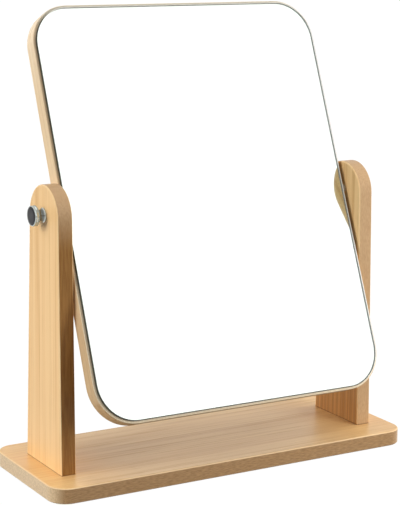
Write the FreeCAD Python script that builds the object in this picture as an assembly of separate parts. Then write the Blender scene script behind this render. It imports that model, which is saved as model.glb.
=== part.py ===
import FreeCAD, Part
import math
import os

# Tilting table mirror: a silvered glass taped to a wooden board, hung between two
# wooden uprights that stand on a wooden base. Millimetres, +Z up, X along the mirror's
# width, -Y towards the person in front. The origin is the middle of the base, at table level.

# ---------------------------------------------------------------- driving dimensions

# Pads under the base
pad_radius = 7.0
pad_thickness = 1.0
pad_rim_chamfer = 0.3
pad_edge_distance = 18.0        # pad centre to the two nearest edges of the base

# Base board
base_end_margin = 17.0          # base beyond the outer face of each upright
base_depth = 112.0
base_thickness = 12.0
base_corner_radius = 15.0
base_edge_round = 1.0
base_underside_chamfer = 0.6

# Uprights
upright_thickness = 12.0
upright_height = 213.5          # above the base
upright_foot_width = 60.0       # front to back, where it meets the base
upright_top_radius = 24.0
upright_edge_round = 1.0

# Screws and dowel that hold each upright
screw_pitch = 34.0              # front to back between the two screws
screw_shank_radius = 2.0
screw_head_radius = 4.0
screw_length = 40.0
screw_point_length = 4.0
screw_tip_radius = 0.3
screw_drive_width = 1.0
screw_drive_span = 4.6
screw_drive_depth = 1.4
dowel_radius = 3.0
dowel_length = 20.0
dowel_depth_in_base = 8.0

# Mirror board and glass
board_width = 253.0
board_height = 320.0
board_thickness = 12.0
board_corner_radius = 32.0
board_front_chamfer = 0.5
board_back_round = 1.0
glass_thickness = 2.0
glass_inset = 2.0               # rim of the board left bare all round the glass
glass_arris = 0.6               # ground bevel round the glass's front
tape_thickness = 0.2
tape_width = 25.0
tape_length = 250.0
tape_strips = 3
tape_pitch = 85.0
rest_tilt = 22.4                # degrees, top leaning back

# Pivot hardware, the same on both sides
pivot_above_round = 1.5         # pivot above the centre of the upright's round top
board_hang = 0.8                # board's middle below the pivot, so that it hangs steady
pivot_depth = 7.5               # pivot axis in front of the board's back face
stud_radius = 2.0
stud_grip = 10.0                # length inside the insert nut
stud_head_grip = 2.6            # length inside the knob head
stud_end_chamfer = 0.5
insert_radius = 3.0
insert_length = 12.0
insert_collar_radius = 3.5
insert_collar_thickness = 0.8
washer_radius = 4.0
washer_thickness = 1.5          # fills the gap between mirror board and upright
ferrule_length = 5.9
ferrule_flange_radius = 5.5
ferrule_flange_thickness = 0.9
ferrule_flange_chamfer = 0.3
ferrule_neck_radius = 4.1
ferrule_neck_length = 1.9
head_radius = 7.6
head_length = 3.8
head_lip_round = 0.6
head_groove_depth = 0.4
head_groove_width = 0.4
grip_band_length = 1.6
grip_ribs = 44
grip_rib_depth = 0.35
inlay_radius = 6.8
inlay_thickness = 0.8
inlay_rise = 0.35               # face of the inlay in front of the head's end
inlay_bevel_width = 1.8

# Clearances
running_clearance = 0.08        # radial, round a part that turns
seat_clearance = 0.04           # radial, round a part that is driven or glued in

# ---------------------------------------------------------------- derived places

base_top = pad_thickness + base_thickness
round_height = base_top + upright_height - upright_top_radius
pivot_height = round_height + pivot_above_round
upright_inner_x = board_width / 2 + washer_thickness
upright_outer_x = upright_inner_x + upright_thickness
base_length = 2 * (upright_outer_x + base_end_margin)
board_front_y = pivot_depth - board_thickness
glass_back_y = board_front_y - tape_thickness
SIDES = {"left": -1, "right": 1}

os.makedirs("parts", exist_ok=True)


# ---------------------------------------------------------------- helpers

def vec(x, y, z):
    return FreeCAD.Vector(x, y, z)


X_AXIS = vec(1, 0, 0)
Z_AXIS = vec(0, 0, 1)


def export(node, shape):
    shape.exportStep("parts/" + node + ".step")


def face_of(edges):
    return Part.Face(Part.Wire(edges))


def rounded_plate(width, height, radius, thickness):
    """Plate centred on the origin in XY, standing on Z = 0, with round corners."""
    plate = Part.makeBox(width, height, thickness, vec(-width / 2, -height / 2, 0))
    corners = [e for e in plate.Edges if abs(e.tangentAt(e.FirstParameter).z) > 0.5]
    return plate.makeFillet(radius, corners)


def edges_in_plane(shape, axis, place):
    """Edges that lie wholly in the plane where the given coordinate equals place."""
    found = []
    for edge in shape.Edges:
        low = getattr(edge.BoundBox, axis + "Min")
        high = getattr(edge.BoundBox, axis + "Max")
        if abs(low - place) < 1e-4 and abs(high - place) < 1e-4:
            found.append(edge)
    return found


def stand_plate_up(plate):
    """Turn a plate drawn in XY so that its height runs along Z and its top faces -Y."""
    upright = plate.copy()
    upright.rotate(vec(0, 0, 0), X_AXIS, 90)
    return upright


def revolve_about_x(points):
    """Solid of revolution about X through (x, radius) points; the axis closes it."""
    corners = [vec(x, radius, 0) for x, radius in points]
    return Part.Face(Part.makePolygon(corners + corners[:1])).revolve(vec(0, 0, 0), X_AXIS, 360)


def out_along_x(shape, side, x):
    """Place a piece drawn along +X at the given distance out on one side, at pivot height."""
    placed = shape.copy()
    if side < 0:
        placed.rotate(vec(0, 0, 0), Z_AXIS, 180)
    placed.translate(vec(side * x, 0, pivot_height))
    return placed


def tilted(shape):
    """Hang a mirror piece, drawn upright about the board's middle, at its resting tilt."""
    placed = shape.copy()
    placed.translate(vec(0, 0, -board_hang))
    placed.rotate(vec(0, 0, 0), X_AXIS, -rest_tilt)
    placed.translate(vec(0, 0, pivot_height))
    return placed


# ---------------------------------------------------------------- base and pads

def screw_places(side):
    x = side * (upright_inner_x + upright_outer_x) / 2
    return [vec(x, y, pad_thickness) for y in (-screw_pitch / 2, screw_pitch / 2)]


def dowel_place(side):
    x = side * (upright_inner_x + upright_outer_x) / 2
    return vec(x, 0, base_top - dowel_depth_in_base)


def screw_body(extra):
    """Countersunk screw, head down; extra is added all round for the hole it sits in."""
    head = Part.makeCone(screw_head_radius + extra, screw_shank_radius + extra,
                         screw_head_radius - screw_shank_radius)
    shank = Part.makeCylinder(screw_shank_radius + extra, screw_length - screw_point_length + extra)
    point = Part.makeCone(screw_shank_radius + extra, screw_tip_radius, screw_point_length,
                          vec(0, 0, screw_length - screw_point_length + extra))
    return head.fuse([shank, point]).removeSplitter()


def make_screw():
    screw = screw_body(0)
    slot = Part.makeBox(screw_drive_span, screw_drive_width, screw_drive_depth,
                        vec(-screw_drive_span / 2, -screw_drive_width / 2, 0))
    cross = slot.copy()
    cross.rotate(vec(0, 0, 0), Z_AXIS, 90)
    return screw.cut([slot, cross])


def cutters(side):
    """Everything drilled for one upright's screws and dowel, through base and upright."""
    drilled = []
    for place in screw_places(side):
        hole = screw_body(seat_clearance)
        hole.translate(place)
        drilled.append(hole)
    drilled.append(Part.makeCylinder(dowel_radius + seat_clearance, dowel_length + seat_clearance,
                                     dowel_place(side) - vec(0, 0, seat_clearance)))
    return drilled


def make_base():
    board = rounded_plate(base_length, base_depth, base_corner_radius, base_thickness)
    board = board.makeFillet(base_edge_round, edges_in_plane(board, "Z", base_thickness))
    board = board.makeChamfer(base_underside_chamfer, edges_in_plane(board, "Z", 0))
    board.translate(vec(0, 0, pad_thickness))
    return board.cut(cutters(-1) + cutters(1))


def make_pads():
    for end, x_sign in SIDES.items():
        for front, y_sign in (("front", -1), ("back", 1)):
            x = x_sign * (base_length / 2 - pad_edge_distance)
            y = y_sign * (base_depth / 2 - pad_edge_distance)
            disc = Part.makeCylinder(pad_radius, pad_thickness, vec(x, y, 0))
            export(front + "_" + end + "_pad", disc.makeChamfer(pad_rim_chamfer, edges_in_plane(disc, "Z", 0)))


# ---------------------------------------------------------------- uprights

def make_upright(side):
    """Tapered post whose straight sides run tangent into a half-round top."""
    start_x = upright_inner_x if side > 0 else -upright_outer_x
    foot_y = upright_foot_width / 2
    drop = round_height - base_top
    reach = math.hypot(foot_y, drop)
    turn = math.acos(upright_top_radius / reach) - math.atan2(drop, foot_y)
    touch_y = upright_top_radius * math.cos(turn)
    touch_z = round_height + upright_top_radius * math.sin(turn)
    foot_front = vec(start_x, -foot_y, base_top)
    foot_back = vec(start_x, foot_y, base_top)
    side_front = vec(start_x, -touch_y, touch_z)
    side_back = vec(start_x, touch_y, touch_z)
    top = vec(start_x, 0, round_height + upright_top_radius)
    outline = face_of([
        Part.makeLine(foot_front, foot_back),
        Part.makeLine(foot_back, side_back),
        Part.Arc(side_back, top, side_front).toShape(),
        Part.makeLine(side_front, foot_front),
    ])
    post = outline.extrude(vec(upright_thickness, 0, 0))
    rims = edges_in_plane(post, "X", start_x) + edges_in_plane(post, "X", start_x + upright_thickness)
    foot = edges_in_plane(post, "Z", base_top)
    post = post.makeFillet(upright_edge_round, [e for e in rims if not any(e.isSame(f) for f in foot)])
    bore = Part.makeCylinder(stud_radius + running_clearance, upright_thickness,
                             vec(start_x, 0, pivot_height), X_AXIS)
    return post.cut(cutters(side) + [bore])


# ---------------------------------------------------------------- pivot hardware

def make_ferrule():
    """Chrome trumpet: flange against the wood at X = 0, hollow flare tangent to a neck."""
    bore = stud_radius + running_clearance
    flare_end = ferrule_length - ferrule_neck_length
    shoulder = ferrule_flange_radius - ferrule_flange_chamfer
    length = flare_end - ferrule_flange_thickness
    rise = shoulder - ferrule_neck_radius
    flare_radius = (length ** 2 + rise ** 2) / (2 * rise)
    half_turn = math.asin(length / flare_radius) / 2
    flange_edge = vec(ferrule_flange_thickness - ferrule_flange_chamfer, ferrule_flange_radius, 0)
    flare_start = vec(ferrule_flange_thickness, shoulder, 0)
    flare_middle = vec(flare_end - flare_radius * math.sin(half_turn),
                       ferrule_neck_radius + flare_radius * (1 - math.cos(half_turn)), 0)
    neck_start = vec(flare_end, ferrule_neck_radius, 0)
    neck_end = vec(ferrule_length, ferrule_neck_radius, 0)
    outline = face_of([
        Part.makeLine(vec(0, bore, 0), vec(0, ferrule_flange_radius, 0)),
        Part.makeLine(vec(0, ferrule_flange_radius, 0), flange_edge),
        Part.makeLine(flange_edge, flare_start),
        Part.Arc(flare_start, flare_middle, neck_start).toShape(),
        Part.makeLine(neck_start, neck_end),
        Part.makeLine(neck_end, vec(ferrule_length, bore, 0)),
        Part.makeLine(vec(ferrule_length, bore, 0), vec(0, bore, 0)),
    ])
    return outline.revolve(vec(0, 0, 0), X_AXIS, 360)


def make_knob_head():
    """Turned head: two smooth lips, a ribbed grip band between two grooves, a dished face."""
    lip = (head_length - grip_band_length) / 2 - head_groove_width
    core_radius = head_radius - head_groove_depth
    band_start = lip + head_groove_width
    band_end = band_start + grip_band_length
    turned = revolve_about_x([
        (0, 0),
        (0, head_radius - head_lip_round),
        (head_lip_round, head_radius),
        (lip, head_radius),
        (lip, core_radius),
        (head_length - lip, core_radius),
        (head_length - lip, head_radius),
        (head_length - head_lip_round / 2, head_radius),
        (head_length, head_radius - head_lip_round / 2),
        (head_length, 0),
    ])
    corners = []
    for step in range(2 * grip_ribs):
        radius = head_radius - grip_rib_depth * (step % 2)
        turn = math.pi * step / grip_ribs
        corners.append(vec(band_start, radius * math.cos(turn), radius * math.sin(turn)))
    band = Part.Face(Part.makePolygon(corners + corners[:1])).extrude(vec(band_end - band_start, 0, 0))
    dish = Part.makeCylinder(inlay_radius + seat_clearance, inlay_thickness,
                             vec(head_length - inlay_thickness, 0, 0), X_AXIS)
    bore = Part.makeCylinder(stud_radius + seat_clearance, stud_head_grip + seat_clearance,
                             vec(0, 0, 0), X_AXIS)
    return turned.fuse(band).cut([dish, bore])


def make_inlay():
    """Dark disc set in the head's end, with a wide shallow bevel up to a flat face."""
    face_x = head_length + inlay_rise
    back_x = head_length - inlay_thickness
    return revolve_about_x([
        (back_x, 0),
        (back_x, inlay_radius),
        (head_length, inlay_radius),
        (face_x, inlay_radius - inlay_bevel_width),
        (face_x, 0),
    ])


def make_stud():
    """Threaded rod, drawn plain, from inside the insert nut to inside the knob head."""
    length = stud_grip + washer_thickness + upright_thickness + ferrule_length + stud_head_grip
    end_radius = stud_radius - stud_end_chamfer
    return revolve_about_x([
        (0, 0),
        (0, end_radius),
        (stud_end_chamfer, stud_radius),
        (length - stud_end_chamfer, stud_radius),
        (length, end_radius),
        (length, 0),
    ])


def make_insert(extra):
    """Insert nut with a thin collar at its mouth; extra is the room added for its seat."""
    body = Part.makeCylinder(insert_radius + extra, insert_length + extra, vec(-extra, 0, 0), X_AXIS)
    collar_start = insert_length - insert_collar_thickness - extra
    collar = Part.makeCylinder(insert_collar_radius + extra, insert_length - collar_start,
                               vec(collar_start, 0, 0), X_AXIS)
    return body.fuse(collar).removeSplitter()


def make_washer():
    ring = Part.makeCylinder(washer_radius, washer_thickness, vec(0, 0, 0), X_AXIS)
    return ring.cut(Part.makeCylinder(stud_radius + running_clearance, washer_thickness,
                                      vec(0, 0, 0), X_AXIS))


def export_pivot_hardware(name, side):
    side_x = board_width / 2
    threaded = Part.makeCylinder(stud_radius + running_clearance, insert_length, vec(0, 0, 0), X_AXIS)
    head_x = upright_outer_x + ferrule_length
    export(name + "_ferrule", out_along_x(make_ferrule(), side, upright_outer_x))
    export(name + "_knob_head", out_along_x(make_knob_head(), side, head_x))
    export(name + "_knob_inlay", out_along_x(make_inlay(), side, head_x))
    export(name + "_pivot_stud", out_along_x(make_stud(), side, side_x - stud_grip))
    export(name + "_insert_nut", out_along_x(make_insert(0).cut(threaded), side, side_x - insert_length))
    export(name + "_friction_washer", out_along_x(make_washer(), side, side_x))


# ---------------------------------------------------------------- mirror

def make_board():
    """Board with rounded corners, drilled in both sides for the insert nuts."""
    board = rounded_plate(board_width, board_height, board_corner_radius, board_thickness)
    board = board.makeChamfer(board_front_chamfer, edges_in_plane(board, "Z", board_thickness))
    board = board.makeFillet(board_back_round, edges_in_plane(board, "Z", 0))
    board = stand_plate_up(board)
    board.translate(vec(0, pivot_depth, 0))
    seats = []
    for side in SIDES.values():
        seat = make_insert(seat_clearance)
        seat.translate(vec(board_width / 2 - insert_length, 0, board_hang))
        if side < 0:
            seat.rotate(vec(0, 0, 0), Z_AXIS, 180)
        seats.append(seat)
    return tilted(board.cut(seats))


def make_glass():
    """Plate of glass that follows the board's outline, its front edge ground to a bevel."""
    glass = rounded_plate(board_width - 2 * glass_inset, board_height - 2 * glass_inset,
                          board_corner_radius - glass_inset, glass_thickness)
    glass = glass.makeChamfer(glass_arris, edges_in_plane(glass, "Z", glass_thickness))
    glass = stand_plate_up(glass)
    glass.translate(vec(0, glass_back_y, 0))
    return tilted(glass)


def make_tape():
    strips = []
    for index in range(tape_strips):
        x = (index - (tape_strips - 1) / 2) * tape_pitch
        corner = vec(x - tape_width / 2, glass_back_y, -tape_length / 2)
        strips.append(Part.makeBox(tape_width, tape_thickness, tape_length, corner))
    return tilted(Part.Compound(strips))


# ---------------------------------------------------------------- the whole mirror

export("base_board", make_base())
make_pads()
for name, side in SIDES.items():
    export(name + "_upright", make_upright(side))
    screws = []
    for place in screw_places(side):
        screw = make_screw()
        screw.translate(place)
        screws.append(screw)
    export(name + "_upright_screws", Part.Compound(screws))
    export(name + "_upright_dowel", Part.makeCylinder(dowel_radius, dowel_length, dowel_place(side)))
    export_pivot_hardware(name, side)
export("mirror_board", make_board())
export("mirror_glass", make_glass())
export("glass_tape", make_tape())
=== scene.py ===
import math

import bmesh
import bpy
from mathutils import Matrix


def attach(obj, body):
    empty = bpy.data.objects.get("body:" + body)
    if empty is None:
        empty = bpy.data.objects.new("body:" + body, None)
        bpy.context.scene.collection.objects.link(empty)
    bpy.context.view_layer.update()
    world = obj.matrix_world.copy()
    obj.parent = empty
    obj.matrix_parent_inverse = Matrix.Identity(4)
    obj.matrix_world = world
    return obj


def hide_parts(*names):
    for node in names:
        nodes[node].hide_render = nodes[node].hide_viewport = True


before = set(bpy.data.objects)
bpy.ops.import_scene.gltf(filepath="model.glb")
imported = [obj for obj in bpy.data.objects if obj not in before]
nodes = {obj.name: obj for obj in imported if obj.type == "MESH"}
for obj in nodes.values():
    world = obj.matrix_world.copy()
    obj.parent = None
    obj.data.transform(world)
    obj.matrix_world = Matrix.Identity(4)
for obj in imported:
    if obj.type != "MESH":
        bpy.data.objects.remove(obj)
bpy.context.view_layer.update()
scene = bpy.context.scene
scene.view_settings.view_transform = "Standard"


# ------------------------------------------------------------------ camera
# A long lens a metre and a quarter away, to the left of the mirror and a little above its top
# edge, so that the left upright's outer face and the top of the base are both seen.

def degrees(*turns):
    return [math.radians(turn) for turn in turns]


bpy.ops.object.camera_add(location=(-0.6521, -1.0715, 0.4220),
                          rotation=degrees(80.063, -0.502, -29.222))
camera = bpy.context.object
camera.name = "camera"
camera.data.sensor_width = 36
camera.data.lens = 117.35
camera.data.shift_x = 0.099
camera.data.shift_y = -0.10
scene.camera = camera


# ------------------------------------------------------------------ studio
# A pale floor in a white room with a bright window to the front and right, two broad soft lamps
# on the left, one on the right, a weak one behind and a small one near the right end of the
# base. The floor keeps the dark line of contact under the base.

def plug(tree, made, sockets):
    """Sets a node's sockets. One that is given another node's output is linked to it."""
    for name, value in sockets.items():
        if isinstance(value, bpy.types.NodeSocket):
            tree.links.new(value, made.inputs[name])
        else:
            made.inputs[name].default_value = value


def node(tree, kind, sockets=None, **settings):
    """A new shader node, with its settings made and its sockets plugged."""
    made = tree.nodes.new("ShaderNode" + kind)
    for name, value in settings.items():
        setattr(made, name, value)
    plug(tree, made, sockets or {})
    return made


def calc(tree, operation, *values):
    """One step of arithmetic on numbers."""
    return node(tree, "Math", dict(enumerate(values)), operation=operation).outputs[0]


def calc_vector(tree, operation, *values):
    """One step of arithmetic on places or directions."""
    made = node(tree, "VectorMath", dict(enumerate(values)), operation=operation)
    return made.outputs["Value" if operation in ("DOT_PRODUCT", "LENGTH") else "Vector"]


def parts(tree, vector):
    return node(tree, "SeparateXYZ", {0: vector}).outputs


def spread(tree, value, low, high, start=0.0, end=1.0):
    """Eases a value from start, where it is at or under low, to end, at or over high."""
    return node(tree, "MapRange", {"Value": value, "From Min": low, "From Max": high,
                                   "To Min": start, "To Max": end},
                interpolation_type="SMOOTHSTEP").outputs[0]


def drawn_place(tree):
    """The place on a piece, in metres, as it is drawn at rest."""
    return node(tree, "TexCoord").outputs["Object"]


def seen_directly(tree):
    """1 where the ray comes from the lens, a gloss or clear glass, 0 for scattered light."""
    rays = node(tree, "LightPath").outputs
    lens_or_gloss = calc(tree, "MAXIMUM", rays["Is Camera Ray"], rays["Is Glossy Ray"])
    return calc(tree, "MAXIMUM", lens_or_gloss, rays["Is Transmission Ray"])


def gloss_dimmed_by(tree, amount):
    """1, less the given amount where the ray comes from a gloss."""
    less = calc(tree, "MULTIPLY", node(tree, "LightPath").outputs["Is Glossy Ray"], amount)
    return calc(tree, "SUBTRACT", 1.0, less)


window_way, window_edge = (0.48, -0.743, 0.471), (0.84, 0.95)
window_light, window_glare = 0.98, 0.6
wall_light, ceiling_light = (0.09, 0.35), (0.0, 0.45)
horizon_dimming = (0.47, 0.0)

room = bpy.data.worlds.new("white_room")
scene.world = room
room.use_nodes = True
tree = room.node_tree
tree.nodes.clear()
direction = node(tree, "TexCoord").outputs["Generated"]
toward = parts(tree, direction)
behind = spread(tree, toward["Y"], -0.2, 0.6, *wall_light)
overhead = spread(tree, toward["Z"], 0.4, 1.0, *ceiling_light)
facing = calc_vector(tree, "DOT_PRODUCT", direction, window_way)
window = spread(tree, facing, *window_edge)
level = calc(tree, "MULTIPLY_ADD", window, window_light, calc(tree, "ADD", behind, overhead))
walls = node(tree, "Background", {"Color": (1, 0.99, 0.975, 1), "Strength": level})
near_horizon = spread(tree, toward["Z"], 0.02, 0.22, *horizon_dimming)
seen = calc(tree, "MULTIPLY", calc(tree, "MULTIPLY_ADD", window, window_glare, 1.0),
            gloss_dimmed_by(tree, near_horizon))
white = node(tree, "Background", {"Color": (1, 1, 1, 1), "Strength": seen})
either = node(tree, "MixShader", {0: seen_directly(tree), 1: walls.outputs[0], 2: white.outputs[0]})
node(tree, "OutputWorld", {"Surface": either.outputs[0]})

floor_size = 14
floor_grey = (0.22, 0.218, 0.215, 1)
floor_glow, glow_share = 1.24, 0.8
distance_dimming = (0.0, 0.5)

bpy.ops.object.select_all(action="DESELECT")
bpy.ops.mesh.primitive_plane_add(size=floor_size)
floor = bpy.context.object
floor.name = "floor"
floor_paint = bpy.data.materials.new("floor_paint")
floor_paint.use_nodes = True
tree = floor_paint.node_tree
tree.nodes.clear()
matt = node(tree, "BsdfDiffuse", {"Color": floor_grey})
far_off = spread(tree, calc_vector(tree, "LENGTH", drawn_place(tree)), 0.5, 1.8, *distance_dimming)
glow = calc(tree, "MULTIPLY", floor_glow, gloss_dimmed_by(tree, far_off))
glowing = node(tree, "Emission", {"Color": (1, 1, 1, 1), "Strength": glow})
share = calc(tree, "MULTIPLY", seen_directly(tree), glow_share)
paint = node(tree, "MixShader", {0: share, 1: matt.outputs[0], 2: glowing.outputs[0]})
node(tree, "OutputMaterial", {"Surface": paint.outputs[0]})
floor.data.materials.append(floor_paint)

warm_white = (1, 0.985, 0.96)
sun_softness = math.radians(35)


def light(name, kind, energy, turns, location=(0, 0, 0)):
    """A warm white lamp that lights the piece but shows in no gloss and through no glass."""
    bpy.ops.object.light_add(type=kind, location=location, rotation=degrees(*turns))
    lamp = bpy.context.object
    lamp.name = name
    lamp.data.energy = energy
    lamp.data.color = warm_white
    lamp.visible_glossy = False
    lamp.visible_transmission = False
    return lamp


for name, energy, turns in (("left_low_lamp", 1.22, (82, 0, -90)),
                            ("left_high_lamp", 1.18, (60, 0, -90)),
                            ("right_lamp", 1.2, (60, 0, 90)),
                            ("back_lamp", 0.6, (-90, 0, 12))):
    light(name, "SUN", energy, turns).data.angle = sun_softness

front_lamp = light("front_lamp", "AREA", 2.25, (82, 0, 40), (0.42, -0.5, 0.25))
front_lamp.data.size = 0.3
front_lamp.visible_camera = False


# ------------------------------------------------------------------ base board
# A board glued up from narrow bamboo strips that run its full length, planed, its edges
# eased, and sprayed with a satin lacquer. The strips show as soft bands and fine fibres.

ACROSS, THROUGH, ALONG = range(3)
strips_to_the_metre = 230.0
strip_sway = 0.0035
band_range, line_range, pore_range = (0.08, 0.5), (0.47, 0.72), (0.62, 0.74)
pore_share = 0.7
fleck_range = (0.36, 0.66)
lacquer_roughness, lacquer_relief = (0.34, 0.5), 0.2
arris_starts = (0.0118, 0.0123)
arris_ends = (0.0127, 0.01295)


def tint(red, green, blue):
    """A colour written as it looks on a screen, 0 to 255, as the shaders take it."""
    shown = [value / 255 for value in (red, green, blue)]
    return tuple(((v + 0.055) / 1.055) ** 2.4 if v > 0.04 else v / 12.92 for v in shown) + (1,)


def blend(tree, share, first, second):
    """The first colour, with a share of the second. Sockets 6 and 7 are the mix's colours."""
    return node(tree, "Mix", {0: share, 6: first, 7: second}, data_type="RGBA").outputs[2]


def speckle(tree, place, across, along, detail=3.0, warp=0.0):
    """Noise with so many grains to the metre across the grain, and so many along it."""
    stretched = node(tree, "Mapping", {"Vector": place, "Scale": (across, across, along)})
    return node(tree, "TexNoise", {"Vector": stretched.outputs[0], "Scale": 1.0, "Detail": detail,
                                   "Roughness": 0.55, "Distortion": warp}).outputs["Fac"]


strips = bpy.data.node_groups.new("glued_strips", "ShaderNodeTree")
for way, sockets in (("INPUT", (("Place", "Vector"), ("Light Strip", "Color"),
                                ("Dark Strip", "Color"), ("Fibre", "Color"),
                                ("Banding", "Float"), ("Fibre Depth", "Float"))),
                     ("OUTPUT", (("Color", "Color"), ("Gloss", "Float"), ("Relief", "Float")))):
    for name, kind in sockets:
        strips.interface.new_socket(name, in_out=way, socket_type="NodeSocket" + kind)
given = strips.nodes.new("NodeGroupInput").outputs
place = given["Place"]
swaying = calc(strips, "MULTIPLY_ADD", speckle(strips, place, 12, 3, 1.0), strip_sway,
               parts(strips, place)[ACROSS])
cells = node(strips, "TexVoronoi", {"W": swaying, "Scale": strips_to_the_metre, "Randomness": 0.9},
             voronoi_dimensions="1D")
strip_tone = node(strips, "SeparateColor", {0: cells.outputs["Color"]}).outputs[0]
tone = calc(strips, "MULTIPLY", strip_tone, speckle(strips, place, 70, 1.5, 2.0, 0.4))
banded = calc(strips, "MULTIPLY", spread(strips, tone, *band_range), given["Banding"])
body = blend(strips, banded, given["Light Strip"], given["Dark Strip"])
lines = spread(strips, speckle(strips, place, 520, 7, 4.0), *line_range)
pores = spread(strips, speckle(strips, place, 1500, 45, 2.0), *pore_range)
fibres = calc(strips, "MULTIPLY_ADD", pores, pore_share, lines)
body = blend(strips, calc(strips, "MULTIPLY", fibres, given["Fibre Depth"]), body, given["Fibre"])
plug(strips, strips.nodes.new("NodeGroupOutput"),
     {"Color": body, "Gloss": spread(strips, fibres, 0, 1.2),
      "Relief": calc(strips, "SUBTRACT", 1.0, fibres)})


def new_finish(name):
    """An empty material: its tree and its Principled shader."""
    material = bpy.data.materials.new(name)
    material.use_nodes = True
    return material, material.node_tree, material.node_tree.nodes["Principled BSDF"]


def bumps(tree, height, strength, depth=0.0002):
    return node(tree, "Bump", {"Strength": strength, "Distance": depth,
                               "Height": height}).outputs[0]


def wear(node_names, material):
    for name in node_names:
        for slot in nodes[name].material_slots:
            slot.material = material


def wooden(name, place_from, tones, banding, fibre, sheen, zones=()):
    """Lacquered strips: their light and dark tone and that of their fibres. place_from turns
    the drawn place to across, through, along. Each zone lays another figure over the strips:
    where, grains across and along, its pale and its deep tone."""
    material, tree, shader = new_finish(name)
    place = place_from(tree)
    light_strip, dark_strip, line = (tint(*tone) for tone in tones)
    wood = node(tree, "Group", {"Place": place, "Light Strip": light_strip,
                                "Dark Strip": dark_strip, "Fibre": line, "Banding": banding,
                                "Fibre Depth": fibre}, node_tree=strips)
    colour = wood.outputs["Color"]
    for share, across, along, pale, deep in zones:
        flecks = spread(tree, speckle(tree, place, across, along, 4.0), *fleck_range)
        figure = blend(tree, flecks, tint(*pale), tint(*deep))
        colour = blend(tree, share(tree, place), colour, figure)
    plug(tree, shader, {"Base Color": colour,
                        "Roughness": spread(tree, wood.outputs["Gloss"], 0, 1, *lacquer_roughness),
                        "Specular IOR Level": sheen,
                        "Normal": bumps(tree, wood.outputs["Relief"], lacquer_relief)})
    return material


def above(tree, place, axis, low, high, share=1.0):
    """Nothing under low, and rising along one axis of the place to the share at high."""
    return spread(tree, parts(tree, place)[axis], low, high, 0.0, share)


def below(tree, place, axis, low, high, share=1.0):
    """The share under low, and falling along one axis of the place to nothing at high."""
    return spread(tree, parts(tree, place)[axis], low, high, share, 0.0)


def both(tree, first, second):
    return calc(tree, "MULTIPLY", first, second)


def along_x(tree):
    """For strips that lie flat and run along x."""
    x, y, z = parts(tree, drawn_place(tree))
    return node(tree, "CombineXYZ", {0: y, 1: z, 2: x}).outputs[0]


def from_middle(tree, place):
    return calc(tree, "ABSOLUTE", parts(tree, place)[ALONG])


def painted_light_ends(tree, place):
    """Painted light: the board is painted paler and warmer towards both ends, which the mirror
    above does not shade.
    """
    return spread(tree, from_middle(tree, place), 0.075, 0.13, 0.0, 0.75)


def painted_light_left_end(tree, place):
    """Painted light: the last bit at the left is painted paler and warmer still."""
    return below(tree, place, ALONG, -0.142, -0.118, 0.8)


def painted_arris_highlight(tree, place):
    """A painted highlight on the eased edge round the top."""
    return both(tree, above(tree, place, THROUGH, *arris_starts),
                below(tree, place, THROUGH, *arris_ends, 0.65))


def below_top(tree, place):
    """The sides, which show the browner flank of the outermost strip."""
    return below(tree, place, THROUGH, *arris_starts)


def end_grain(tree, place):
    """The sides at both ends, where the strips are cut off."""
    return both(tree, below_top(tree, place),
                spread(tree, from_middle(tree, place), 0.148, 0.1568))


base_wood = wooden("base_wood", along_x, ((219, 187, 140), (198, 159, 110), (168, 127, 83)),
                   banding=0.5, fibre=0.4, sheen=0.5,
                   zones=((painted_light_ends, 700, 20, (238, 195, 133), (218, 172, 110)),
                          (painted_light_left_end, 600, 20, (255, 213, 150), (244, 194, 128)),
                          (painted_arris_highlight, 700, 60, (255, 228, 186), (248, 216, 172)),
                          (below_top, 1500, 200, (182, 143, 97), (155, 118, 75)),
                          (end_grain, 900, 900, (228, 200, 160), (206, 178, 138))))
wear(["base_board"], base_wood)


# ------------------------------------------------------------------ foot pads
# Four stick-on discs of dark rubber that keep the base off the table and stop it sliding.

mid_noise = (0.3, 0.7)


def speckled(name, place_from, grains, tones, roughness, patches=mid_noise, relief=0.0,
             others=None):
    """Noise that turns from one tone to another, with a roughness that follows it. The
    patches are the part of the noise's range over which the roughness changes."""
    material, tree, shader = new_finish(name)
    noise = speckle(tree, place_from(tree), *grains)
    plug(tree, shader, {"Base Color": blend(tree, noise, tint(*tones[0]), tint(*tones[1])),
                        "Roughness": spread(tree, noise, *patches, *roughness)})
    plug(tree, shader, others or {})
    if relief:
        plug(tree, shader, {"Normal": bumps(tree, noise, relief)})
    return material


rubber = speckled("pad_rubber", drawn_place, (2600, 2600, 2.0), ((52, 52, 54), (78, 78, 80)),
                  roughness=(0.7, 0.9), relief=0.3)
wear(["front_left_pad", "front_right_pad", "back_left_pad", "back_right_pad"], rubber)


# ------------------------------------------------------------------ uprights
# Two tapered posts with round tops, sawn from the same strip board with the strips upright.
# Their broad faces show the strips side by side, their narrow faces the flank of one strip.

post_middle = 0.134
post_foot, round_centre = 0.013, 0.2025
half_foot, half_top = 0.03, 0.024


def along_z(tree):
    """For strips that stand upright and face to the sides."""
    x, y, z = parts(tree, drawn_place(tree))
    return node(tree, "CombineXYZ", {0: y, 1: x, 2: z}).outputs[0]


def narrow_face(tree, place):
    """All that lies between the broad faces of either upright."""
    outward = calc(tree, "ABSOLUTE", parts(tree, place)[THROUGH])
    off_middle = calc(tree, "ABSOLUTE", calc(tree, "SUBTRACT", outward, post_middle))
    return spread(tree, off_middle, 0.0052, 0.0058, 1.0, 0.0)


def painted_shade_left_front(tree, place):
    """Painted shade: the front of the left upright below its round is painted darker brown, where
    the mirror shades it.
    """
    left_front = both(tree, below(tree, place, THROUGH, -0.08, -0.07),
                      below(tree, place, ACROSS, -0.016, -0.012))
    under_round = below(tree, place, ALONG, 0.178, 0.212)
    return both(tree, narrow_face(tree, place), both(tree, left_front, under_round))


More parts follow.
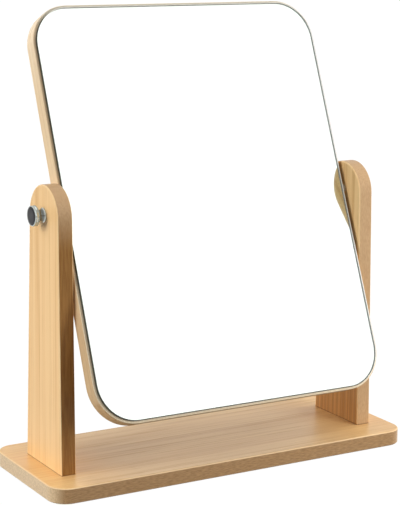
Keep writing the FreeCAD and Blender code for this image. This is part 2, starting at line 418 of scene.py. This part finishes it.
def right_inner_streaks_and_painted_shade(tree, place):
    """The inner face of the right upright, with streakier strips, painted duller than the outer
    ones as painted shade from the mirror and the left upright.
    """
    inner = below(tree, place, THROUGH, 0.1281, 0.1287)
    return both(tree, inner, above(tree, place, THROUGH, 0.07, 0.08, 0.9))


def painted_shade_inner_foot(tree, place):
    """Painted shade: that face is painted darker towards the foot."""
    return both(tree, right_inner_streaks_and_painted_shade(tree, place), below(tree, place, ALONG, 0.02, 0.13, 0.89))


def painted_edge_highlight(tree, place):
    """A painted highlight: a paler line along the rims of the broad faces, which are sanded round.
    """
    across, _, along = parts(tree, place)
    rise = calc(tree, "MAXIMUM", calc(tree, "SUBTRACT", along, round_centre), 0.0)
    reach = calc_vector(tree, "LENGTH", node(tree, "CombineXYZ", {0: across, 1: rise}).outputs[0])
    half_width = node(tree, "MapRange", {"Value": along, "From Min": post_foot,
                                         "From Max": round_centre, "To Min": half_foot,
                                         "To Max": half_top}).outputs[0]
    inside = calc(tree, "SUBTRACT", half_width, reach)
    broad_face = calc(tree, "SUBTRACT", 1.0, narrow_face(tree, place))
    return both(tree, broad_face, spread(tree, inside, 0.0006, 0.0018, 0.8, 0.0))


def foot_line(tree, place):
    """The dark line where an upright stands on the base."""
    return below(tree, place, ALONG, 0.0134, 0.0139, 0.6)


post_wood = wooden("post_wood", along_z, ((250, 210, 153), (232, 183, 121), (198, 148, 93)),
                   banding=0.5, fibre=0.3, sheen=0.2,
                   zones=((narrow_face, 1300, 300, (201, 167, 127), (189, 153, 114)),
                          (painted_shade_left_front, 900, 40, (163, 118, 65), (143, 99, 50)),
                          (right_inner_streaks_and_painted_shade, 520, 7, (233, 199, 144), (210, 170, 115)),
                          (painted_shade_inner_foot, 420, 6, (196, 138, 78), (160, 104, 55)),
                          (painted_edge_highlight, 700, 60, (255, 224, 174), (246, 208, 154)),
                          (foot_line, 700, 700, (120, 82, 46), (96, 62, 32))))
wear(["left_upright", "right_upright"], post_wood)


# ------------------------------------------------------------------ screws and dowels
# Two countersunk zinc-plated screws come up through the base into each upright, with a
# beech dowel between them to stop the upright turning.

zinc = speckled("zinc_steel", drawn_place, (900, 900, 3.0), ((176, 176, 172), (206, 202, 188)),
                roughness=(0.26, 0.42), others={"Metallic": 1.0})
wear(["left_upright_screws", "right_upright_screws"], zinc)

beech = wooden("dowel_beech", along_z, ((226, 186, 140), (208, 164, 116), (170, 124, 80)),
               banding=0.6, fibre=0.5, sheen=0.2)
wear(["left_upright_dowel", "right_upright_dowel"], beech)


# ------------------------------------------------------------------ mirror board
# The board that carries the glass: the same strips, upright, with rounded corners, a small
# chamfer round the front and a soft round at the back. It hangs tilted between the uprights.

tilt = math.radians(-22.4)
pivot = (0, 0, 0.204)
front_rim = (-0.0044, -0.0041)


def along_board(tree):
    """For strips that run up the tilted board, with the place taken from the pivot."""
    return node(tree, "Mapping", {"Vector": drawn_place(tree), "Location": pivot,
                                  "Rotation": (tilt, 0, 0)}, vector_type="TEXTURE").outputs[0]


def rim(tree, place):
    """The front edge of the board, which the glass leaves bare."""
    return below(tree, place, THROUGH, *front_rim)


def painted_shade_lower_board(tree, place):
    """Painted shade: the board is painted duller towards its lower edge."""
    return below(tree, place, ALONG, -0.11, -0.02, 0.75)


def painted_light_upper_board(tree, place):
    """Painted light: and painted paler towards its upper edge."""
    return above(tree, place, ALONG, 0.07, 0.14, 0.8)


def painted_shade_underside(tree, place):
    """The lower edge itself, painted darker as painted shade, as it faces down."""
    return below(tree, place, ALONG, -0.1603, -0.1598, 0.9)


def painted_light_low_rim(tree, place):
    """Painted light: the rim below and half way up the sides, painted pale cream."""
    return both(tree, rim(tree, place), below(tree, place, ALONG, -0.09, 0.02))


def painted_light_top_rim(tree, place):
    """Painted light: the rim above the glass, painted a pale grey."""
    return both(tree, rim(tree, place), above(tree, place, ALONG, 0.14, 0.155))


def painted_highlight_right_rim(tree, place):
    """Painted highlight: the rim's right side, from the lower corner up, painted near white."""
    upward = above(tree, place, ALONG, -0.13, -0.09)
    return both(tree, rim(tree, place),
                both(tree, above(tree, place, ACROSS, 0.123, 0.1245), upward))


board_wood = wooden("board_wood", along_board, ((240, 213, 173), (224, 190, 144), (192, 154, 110)),
                    banding=0.6, fibre=0.35, sheen=0.2,
                    zones=((painted_shade_lower_board, 420, 8, (214, 183, 141), (192, 158, 116)),
                           (painted_light_upper_board, 420, 8, (255, 236, 206), (244, 218, 182)),
                           (painted_shade_underside, 700, 60, (182, 146, 104), (160, 124, 84)),
                           (painted_light_low_rim, 700, 700, (250, 234, 204), (240, 220, 188)),
                           (painted_light_top_rim, 700, 700, (226, 218, 196), (214, 206, 186)),
                           (painted_highlight_right_rim, 700, 700, (250, 246, 240), (244, 240, 233))))
wear(["mirror_board"], board_wood)


# ------------------------------------------------------------------ mirror glass
# A plate of clear glass 2 mm thick, a little smaller than the board all round, its front edge
# ground to a narrow bevel, painted dark on the left and below and pale above and on the right,
# and its sides on the left and below painted dark: painted light and shade. The back is
# silvered, and three strips of tape hold it to the board.

glass_width, glass_height, glass_corner = 0.249, 0.316, 0.03
corner_steps = 24
glass_front, glass_back = -0.0067, -0.00475
coat_front, coat_back = -0.00474, -0.0047
ground_edge = 0.0006
hang = -0.0008
lit_from = (0.85, 0, 0.53)
side_limit, front_limit = 0.2, 0.99
ripple_share, bevel_roughness = 0.15, (0.12, 0.25)
smooth_under = math.radians(25)


def bevel(pane, wanted, width, steps):
    """Bevels the edges of a pane that are wanted."""
    bpy.ops.object.mode_set(mode="EDIT")
    bpy.ops.mesh.select_mode(type="EDGE")
    bpy.ops.mesh.select_all(action="DESELECT")
    shape = bmesh.from_edit_mesh(pane.data)
    for edge in shape.edges:
        edge.select_set(wanted(*(corner.co.y for corner in edge.verts)))
    shape.select_flush_mode()
    bmesh.update_edit_mesh(pane.data)
    bpy.ops.mesh.bevel(offset=width, segments=steps, affect="EDGES")
    bpy.ops.object.mode_set(mode="OBJECT")


def rounded_pane(name, front, back):
    """A plate with round corners between two depths, drawn upright about the board's middle."""
    thickness = back - front
    bpy.ops.object.select_all(action="DESELECT")
    bpy.ops.mesh.primitive_cube_add(size=1, scale=(glass_width, thickness, glass_height))
    pane = bpy.context.object
    pane.name = name
    bpy.ops.object.transform_apply(location=False, rotation=False, scale=True)
    bevel(pane, lambda one, other: abs(other - one) > thickness / 2, glass_corner, corner_steps)
    return pane


def hang_in_place(pane, front, back):
    """Tilts a pane into its place on the board, with that place kept in its mesh."""
    middle = (front + back) / 2
    pane.rotation_euler = (tilt, 0, 0)
    pane.location = (0, middle * math.cos(tilt) - hang * math.sin(tilt),
                     pivot[2] + middle * math.sin(tilt) + hang * math.cos(tilt))
    bpy.ops.object.transform_apply(location=True, rotation=True, scale=True)
    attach(pane, "mirror")
    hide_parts("mirror_glass")


clear = speckled("clear_glass", along_board, (18, 18, 4.0, 0.8), ((255, 255, 255), (252, 255, 254)),
                 roughness=(0.0, 0.01), patches=(0.45, 0.85),
                 others={"Transmission Weight": 1.0, "IOR": 1.5})


def painted_bevel_light_and_shade(tree):
    """Painted light and shade on the ground bevel: painted dark on the left and below, which face
    away from lit_from, and painted pale above and on the right.
    """
    dark, top = tint(44, 41, 33), tint(254, 250, 240)
    right_low, right_high = tint(228, 227, 224), tint(254, 253, 252)
    place = along_board(tree)
    straight = (glass_width / 2 - glass_corner, 1.0, glass_height / 2 - glass_corner)
    beyond = calc_vector(tree, "SUBTRACT", calc_vector(tree, "ABSOLUTE", place), straight)
    beyond = calc_vector(tree, "MAXIMUM", beyond, (0, 0, 0))
    outward = calc_vector(tree, "MULTIPLY", beyond, calc_vector(tree, "SIGN", place))
    outward = calc_vector(tree, "NORMALIZE", outward)
    right = blend(tree, above(tree, place, ALONG, -0.12, 0.12), right_low, right_high)
    pale = blend(tree, above(tree, outward, ACROSS, 0.2, 0.8), top, right)
    lit = calc_vector(tree, "DOT_PRODUCT", outward, lit_from)
    return blend(tree, spread(tree, lit, -0.35, 0.25), dark, pale)


ground, tree, shader = new_finish("ground_bevel")
ripples = speckle(tree, along_board(tree), 700, 700, 2.0)
rippled = calc(tree, "MULTIPLY", ripples, ripple_share)
plug(tree, shader, {"Base Color": blend(tree, rippled, painted_bevel_light_and_shade(tree), tint(130, 126, 112)),
                    "Roughness": spread(tree, ripples, *mid_noise, *bevel_roughness)})

# Painted shade: a dark matt finish for the sides of the glass that face away from lit_from, on the
# left and below.
painted_shade_glass_side = speckled("painted_shade_glass_side", along_board, (900, 900, 2.0), ((44, 38, 24), (72, 64, 46)),
                       roughness=(0.4, 0.6))

glass = rounded_pane("mirror_pane", glass_front, glass_back)
bevel(glass, lambda one, other: one < 0 and other < 0, ground_edge, 1)
# Bevel faces take the ground bevel, sides facing away from lit_from take the painted-shade side,
# and the rest stays clear.
for face in glass.data.polygons:
    bevelled = side_limit < -face.normal.y < front_limit
    side = abs(face.normal.y) < side_limit
    unlit = lit_from[0] * face.normal.x + lit_from[2] * face.normal.z < 0
    face.material_index = 1 if bevelled else 2 if side and unlit else 0
bpy.ops.object.shade_smooth_by_angle(angle=smooth_under)
for material in (clear, ground, painted_shade_glass_side):
    glass.data.materials.append(material)
hang_in_place(glass, glass_front, glass_back)

coat = rounded_pane("silver_coat", coat_front, coat_back)
silver = speckled("silver_coat", along_board, (25, 25, 3.0), ((223, 227, 221), (219, 223, 217)),
                  roughness=(0.0, 0.008), patches=(0.4, 0.8), others={"Metallic": 1.0})
coat.data.materials.append(silver)
hang_in_place(coat, coat_front, coat_back)


# ------------------------------------------------------------------ mounting tape
# Three upright strips of white double-sided tape between the board and the back of the glass.

tape = speckled("white_tape", along_board, (1400, 300, 2.0), ((236, 234, 228), (214, 211, 202)),
                roughness=(0.6, 0.8))
wear(["glass_tape"], tape)


# ------------------------------------------------------------------ pivots
# On each side a steel stud runs from a brass insert nut in the board, through a nylon washer,
# the upright and a chromed ferrule, into a chromed knob head that clamps the tilt.

neck_radius, neck_shade_share = (0.0045, 0.0054), 0.8
chrome_roughness = (0.08, 0.18)
inlay_highlight_radius, inlay_roughness = 0.0062, (0.3, 0.45)
turned_rings, ring_share = 9000, 0.3


def off_axis(tree):
    """The distance from the line about which the mirror and the knobs turn."""
    from_pivot = calc_vector(tree, "SUBTRACT", drawn_place(tree), pivot)
    return calc_vector(tree, "LENGTH", calc_vector(tree, "MULTIPLY", from_pivot, (0, 1, 1)))


chrome, tree, shader = new_finish("chrome_plate")
haze = speckle(tree, drawn_place(tree), 1200, 1200, 3.0)
bright = blend(tree, haze, tint(204, 210, 206), tint(188, 195, 190))
# Painted shade: where the chrome lies close to the axis, at the ferrule's narrow neck, it is
# painted dark.
painted_neck_shade = spread(tree, off_axis(tree), *neck_radius, neck_shade_share, 0.0)
plug(tree, shader, {"Base Color": blend(tree, painted_neck_shade, bright, tint(74, 73, 66)),
                    "Roughness": spread(tree, haze, 0.35, 0.7, *chrome_roughness),
                    "Metallic": 0.8})
wear(["left_ferrule", "right_ferrule", "left_knob_head", "right_knob_head"], chrome)

inlay, tree, shader = new_finish("dark_inlay")
from_axis = off_axis(tree)
rings = node(tree, "TexNoise", {"W": calc(tree, "MULTIPLY", from_axis, turned_rings), "Scale": 1.0,
                                "Detail": 2.0}, noise_dimensions="1D").outputs["Fac"]
# Painted highlight: the middle of the inlay is painted paler than its edge.
middle = spread(tree, from_axis, 0.0, inlay_highlight_radius, 1.0, 0.0)
inlay_painted_highlight = blend(tree, middle, tint(22, 22, 25), tint(60, 60, 62))
ringed = calc(tree, "MULTIPLY", rings, ring_share)
plug(tree, shader, {"Base Color": blend(tree, ringed, inlay_painted_highlight, tint(70, 70, 74)),
                    "Roughness": spread(tree, rings, *mid_noise, *inlay_roughness),
                    "Specular IOR Level": 0.3})
wear(["left_knob_inlay", "right_knob_inlay"], inlay)

wear(["left_pivot_stud", "right_pivot_stud"], zinc)

brass = speckled("insert_brass", drawn_place, (700, 700, 3.0), ((212, 178, 104), (186, 148, 84)),
                 roughness=(0.25, 0.4), others={"Metallic": 1.0})
wear(["left_insert_nut", "right_insert_nut"], brass)

nylon = speckled("washer_nylon", drawn_place, (1600, 1600, 2.0), ((232, 229, 220), (216, 212, 200)),
                 roughness=(0.4, 0.55))
wear(["left_friction_washer", "right_friction_washer"], nylon)
